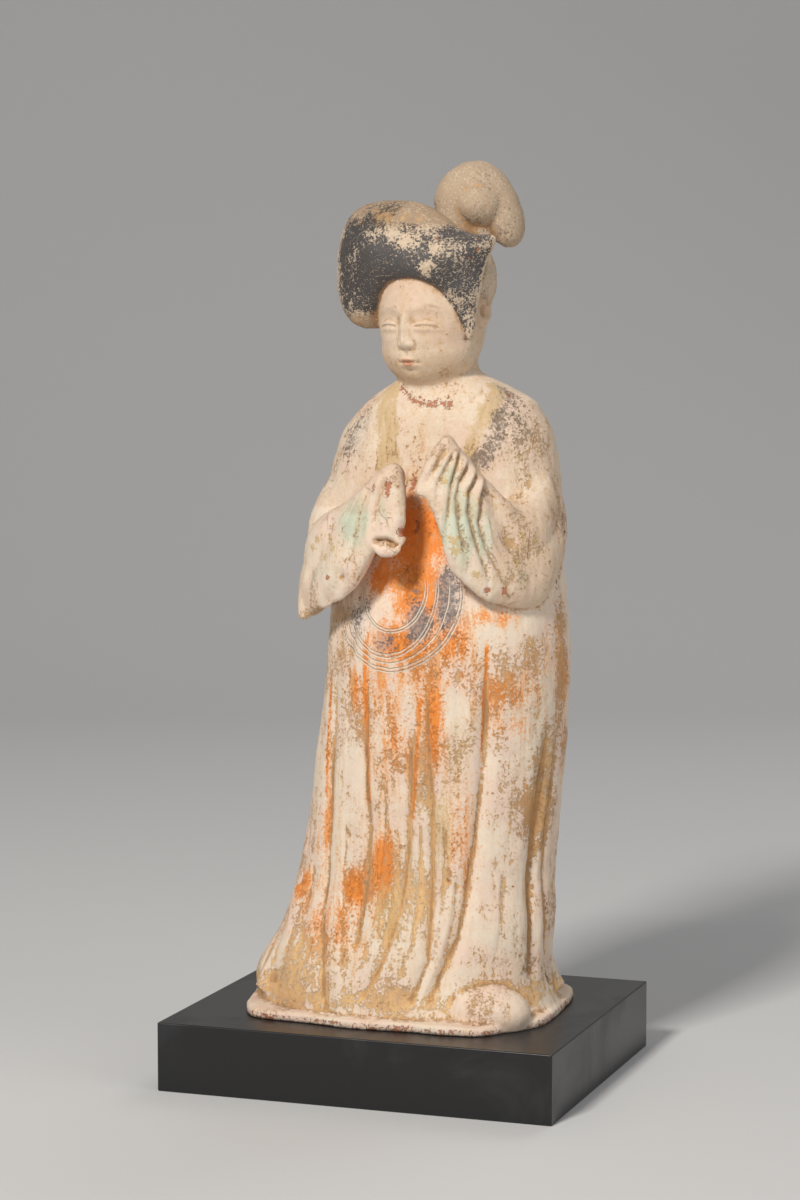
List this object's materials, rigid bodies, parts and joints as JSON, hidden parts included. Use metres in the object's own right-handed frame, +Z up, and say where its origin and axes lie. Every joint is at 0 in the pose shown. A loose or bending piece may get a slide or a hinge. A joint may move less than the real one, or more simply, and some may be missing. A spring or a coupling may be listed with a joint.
{
  "type": "pottery court lady figure",
  "caption": "Standing court lady in worn painted pottery, hands raised in long sleeves, hair rolled up under a falling bun, on a black display plinth.",
  "frame": {"origin": "centre of the plinth's underside", "axes": "+Z up through the figure, -Y the way the figure's body faces, +X to the figure's left"},
  "size_m": [0.2416, 0.205, 0.5446],
  "materials": {
    "painted_pottery": "matt unglazed earthenware with worn slip and paint",
    "black_plinth": "satin black lacquer"
  },
  "bodies": {
    "root": {"court_lady_figure": "painted_pottery", "display_plinth": "black_plinth"}
  },
  "joints": []
}
